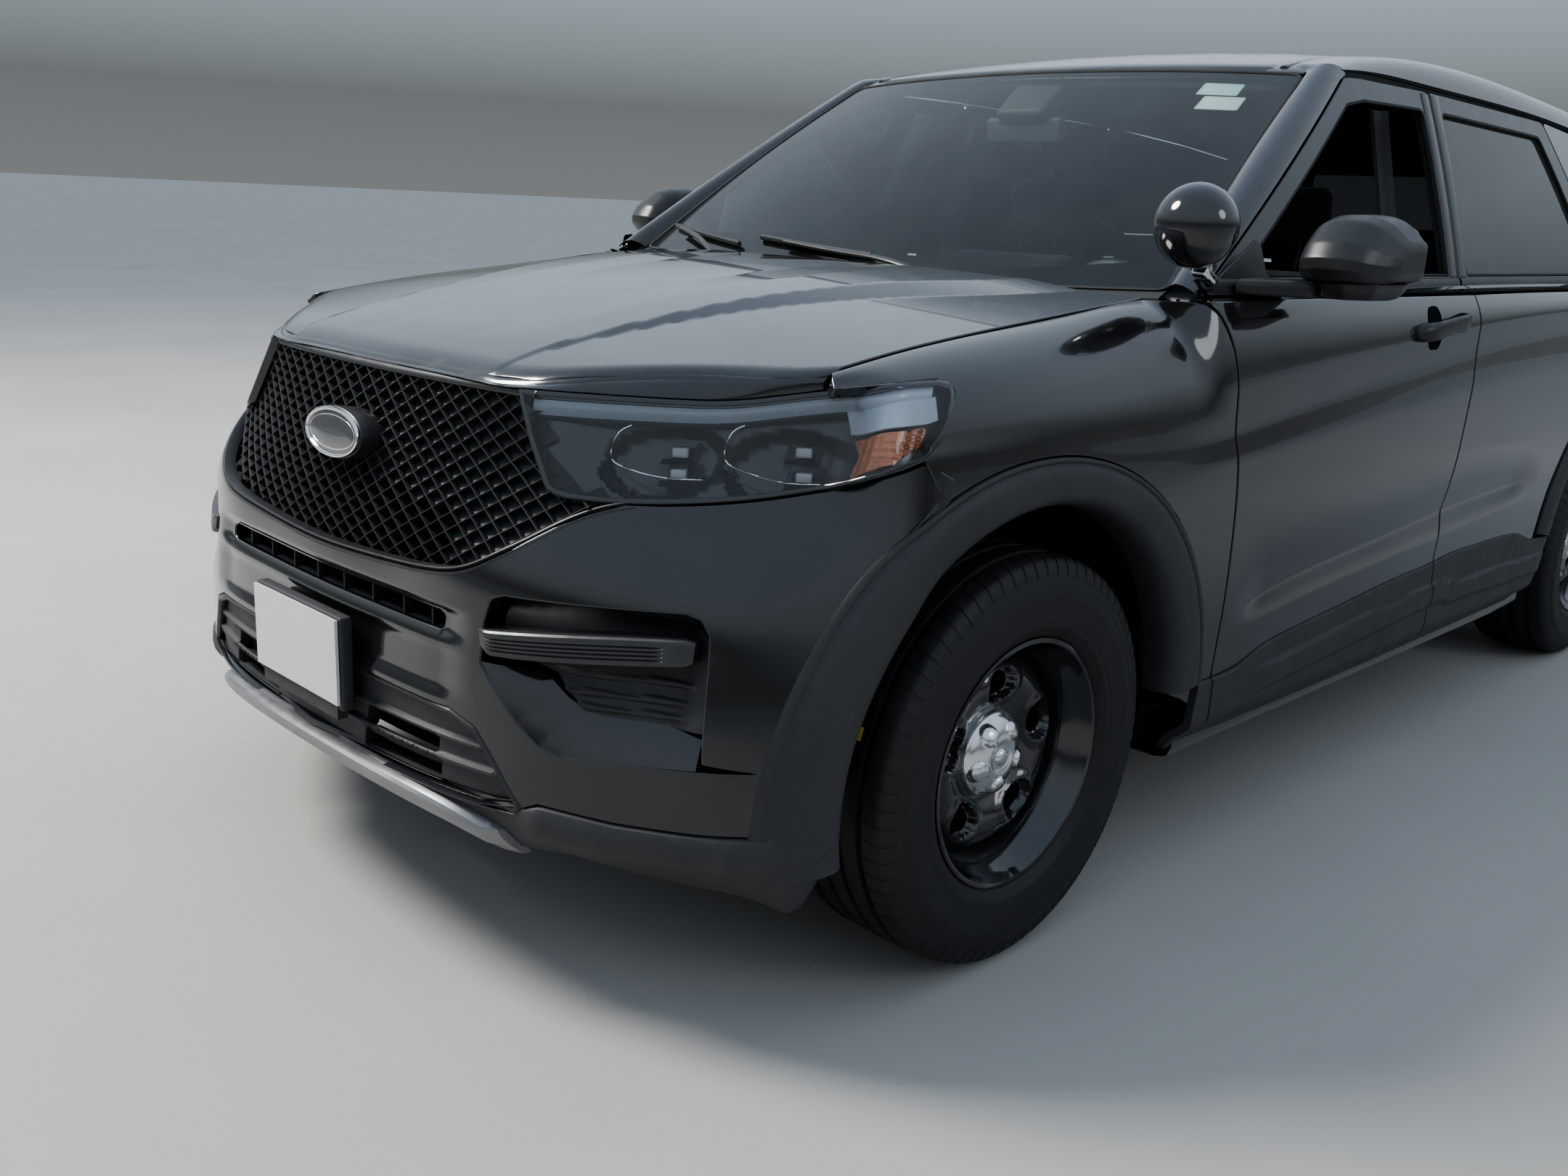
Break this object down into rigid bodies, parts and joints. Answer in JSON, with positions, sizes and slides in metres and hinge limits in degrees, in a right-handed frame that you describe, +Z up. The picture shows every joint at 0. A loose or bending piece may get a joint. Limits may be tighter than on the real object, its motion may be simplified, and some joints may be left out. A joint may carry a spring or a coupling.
{
  "type": "police sport-utility vehicle",
  "caption": "Full-size black police sport-utility vehicle with opening doors, hood and tailgate, steering front wheels, roof rails and a pillar spotlight.",
  "frame": {"origin": "on the ground, at the middle of the bounding box", "axes": "+X forward, +Y to the vehicle's left, +Z up"},
  "size_m": [5.05, 2.272, 1.7649],
  "materials": {
    "gloss_black": "gloss",
    "black_steel": "satin",
    "dark_plastic": "textured matte",
    "gloss_plastic": "gloss",
    "lamp_front": "clear over dark",
    "lamp_rear": "clear red",
    "clear_glass": "clear",
    "privacy_glass": "dark tint",
    "tyre_rubber": "matte",
    "cast_metal": "raw",
    "bare_steel": "satin",
    "seat_cloth": "woven",
    "plate_metal": "satin",
    "engine_block": "cast"
  },
  "bodies": {
    "body": {"arch_flares": "dark_plastic", "sills": "dark_plastic", "door_posts": "gloss_black", "quarter_panels": "gloss_black", "upper_frames": "gloss_black", "quarter_windows": "privacy_glass", "roof_panel": "gloss_black", "windshield": "clear_glass", "front_fenders": "gloss_black", "wheel_liners": "dark_plastic", "front_bumper": "gloss_black", "grilles": "dark_plastic", "plate_bracket": "dark_plastic", "front_plate": "plate_metal", "headlamps": "lamp_front", "floor_pan": "black_steel", "front_structure": "black_steel", "cowl": "dark_plastic", "engine": "engine_block", "tail_lamps": "lamp_rear", "rear_bumper": "gloss_black", "front_seats": "seat_cloth", "rear_seat": "seat_cloth", "dashboard": "dark_plastic", "front_suspension": "black_steel", "rear_suspension": "black_steel", "exhaust": "bare_steel", "spotlight": "gloss_plastic"},
    "hood": {"hood": "gloss_black"},
    "tailgate": {"tailgate": "gloss_black", "tailgate_window": "privacy_glass", "rear_plate": "plate_metal"},
    "front_left_door": {"front_door_left": "gloss_black", "mirror_left": "dark_plastic"},
    "front_right_door": {"front_door_right": "gloss_black", "mirror_right": "dark_plastic", "front_window_right": "clear_glass"},
    "rear_left_door": {"rear_door_left": "gloss_black", "rear_window_left": "privacy_glass"},
    "rear_right_door": {"rear_door_right": "gloss_black", "rear_window_right": "privacy_glass"},
    "front_left_knuckle": {"front_left_knuckle": "cast_metal"},
    "front_right_knuckle": {"front_right_knuckle": "cast_metal"},
    "steering_wheel": {"steering_wheel": "dark_plastic"},
    "front_left_wheel": {"front_left_tyre": "tyre_rubber", "front_left_rim": "black_steel"},
    "front_right_wheel": {"front_right_tyre": "tyre_rubber", "front_right_rim": "black_steel"},
    "rear_left_wheel": {"rear_left_tyre": "tyre_rubber", "rear_left_rim": "black_steel"},
    "rear_right_wheel": {"rear_right_tyre": "tyre_rubber", "rear_right_rim": "black_steel"}
  },
  "joints": [
    {"name": "hood_hinge", "type": "hinge", "parent": "body", "child": "hood", "pos_m": [1.168, 0, 1.152], "axis": [0, -1, 0], "range_deg": [0, 50]},
    {"name": "tailgate_hinge", "type": "hinge", "parent": "body", "child": "tailgate", "pos_m": [-2.062, 0, 1.679], "axis": [0, 1, 0], "range_deg": [0, 85]},
    {"name": "front_left_door_hinge", "type": "hinge", "parent": "body", "child": "front_left_door", "pos_m": [1.005, 0.967, 0.7], "axis": [0, 0, -1], "range_deg": [0, 68]},
    {"name": "front_right_door_hinge", "type": "hinge", "parent": "body", "child": "front_right_door", "pos_m": [1.005, -0.967, 0.7], "axis": [0, 0, 1], "range_deg": [0, 68]},
    {"name": "rear_left_door_hinge", "type": "hinge", "parent": "body", "child": "rear_left_door", "pos_m": [-0.168, 0.967, 0.7], "axis": [0, 0, -1], "range_deg": [0, 70]},
    {"name": "rear_right_door_hinge", "type": "hinge", "parent": "body", "child": "rear_right_door", "pos_m": [-0.168, -0.967, 0.7], "axis": [0, 0, 1], "range_deg": [0, 70]},
    {"name": "steer_left", "type": "hinge", "parent": "body", "child": "front_left_knuckle", "pos_m": [1.66, 0.8, 0.375], "axis": [0, 0, 1], "range_deg": [-33, 33]},
    {"name": "steer_right", "type": "hinge", "parent": "body", "child": "front_right_knuckle", "pos_m": [1.66, -0.8, 0.375], "axis": [0, 0, 1], "range_deg": [-33, 33]},
    {"name": "steering_wheel_turn", "type": "hinge", "parent": "body", "child": "steering_wheel", "pos_m": [0.56, 0.38, 1.035], "axis": [-0.9135, 0, 0.4067], "range_deg": [-500, 500]},
    {"name": "front_left_wheel_spin", "type": "hinge", "parent": "front_left_knuckle", "child": "front_left_wheel", "pos_m": [1.66, 0.8495, 0.375], "axis": [0, 1, 0], "continuous": true},
    {"name": "front_right_wheel_spin", "type": "hinge", "parent": "front_right_knuckle", "child": "front_right_wheel", "pos_m": [1.66, -0.8495, 0.375], "axis": [0, 1, 0], "continuous": true},
    {"name": "rear_left_wheel_spin", "type": "hinge", "parent": "body", "child": "rear_left_wheel", "pos_m": [-1.365, 0.8495, 0.375], "axis": [0, 1, 0], "continuous": true},
    {"name": "rear_right_wheel_spin", "type": "hinge", "parent": "body", "child": "rear_right_wheel", "pos_m": [-1.365, -0.8495, 0.375], "axis": [0, 1, 0], "continuous": true}
  ],
  "couplings": [
    {"joint": "steer_right", "follows": "steer_left", "ratio": 1},
    {"joint": "steering_wheel_turn", "follows": "steer_left", "ratio": 15}
  ]
}
